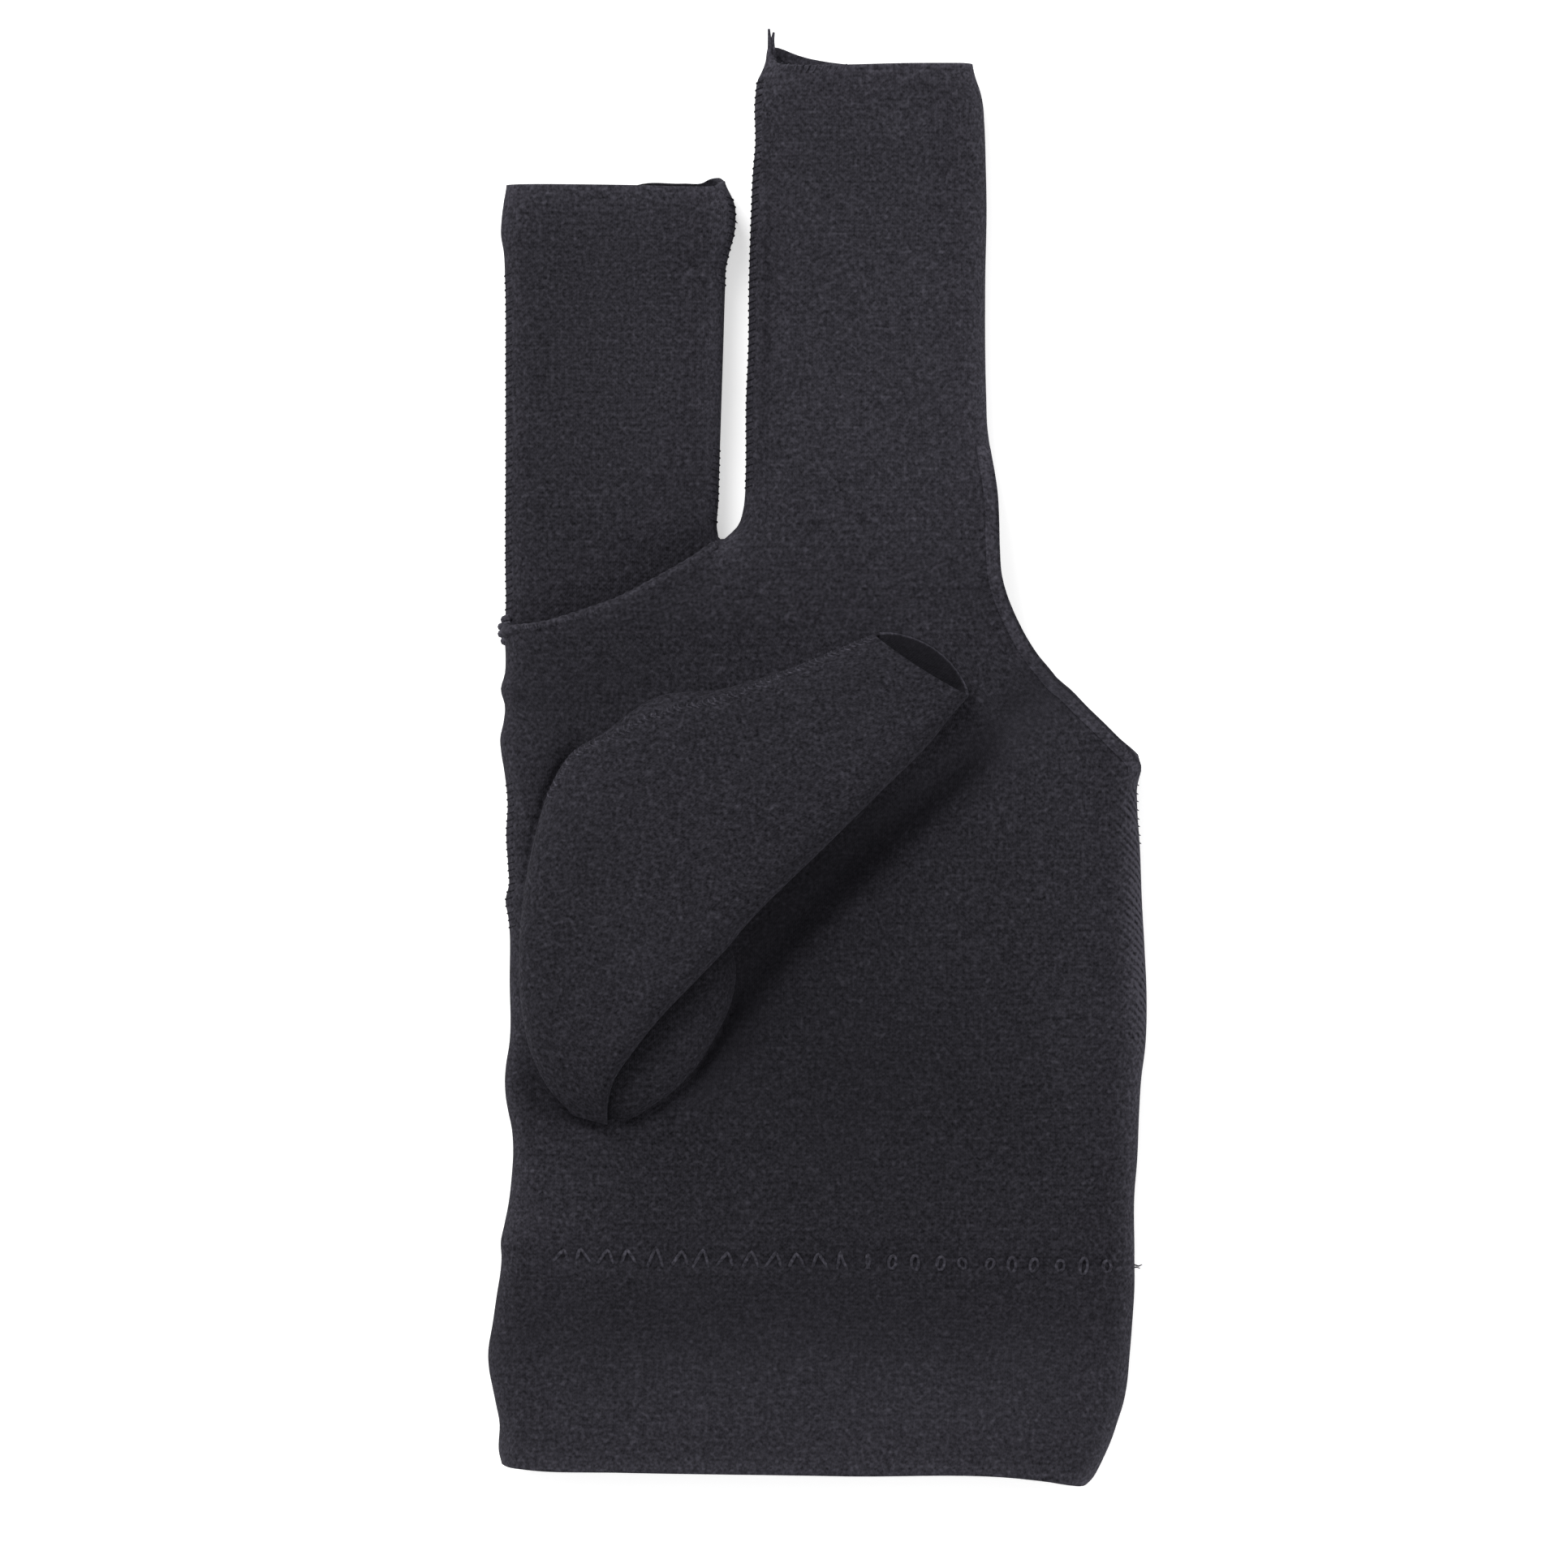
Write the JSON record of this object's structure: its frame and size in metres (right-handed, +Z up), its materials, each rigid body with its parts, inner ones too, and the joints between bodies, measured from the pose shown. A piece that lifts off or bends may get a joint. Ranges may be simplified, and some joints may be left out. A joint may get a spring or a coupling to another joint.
{
  "type": "three-finger billiard glove",
  "caption": "Left-hand billiard glove in black stretch knit, lying flat palm up: open-ended finger tubes, thumb folded over the palm, open outer side, hemmed cuff.",
  "frame": {"origin": "centre of the bounding box's underside, on the table under the palm", "axes": "+X across the palm from the index tube's side to the open side, +Y from the wrist to the fingertips, +Z up from the table through the back of the hand and the palm to the folded thumb"},
  "size_m": [0.0974, 0.2124, 0.0211],
  "materials": {
    "knit": "black fine stretch knit, matt, with fine ribs",
    "hem_knit": "the same black knit folded double and overlocked, matt"
  },
  "bodies": {
    "root": {"hand_sleeve": "knit", "middle_hem": "hem_knit", "index_sleeve": "knit", "index_hem": "hem_knit", "index_seam": "hem_knit", "thumb_sleeve": "knit", "thumb_gusset": "knit", "side_hem": "hem_knit", "cuff_band": "hem_knit"}
  },
  "joints": []
}
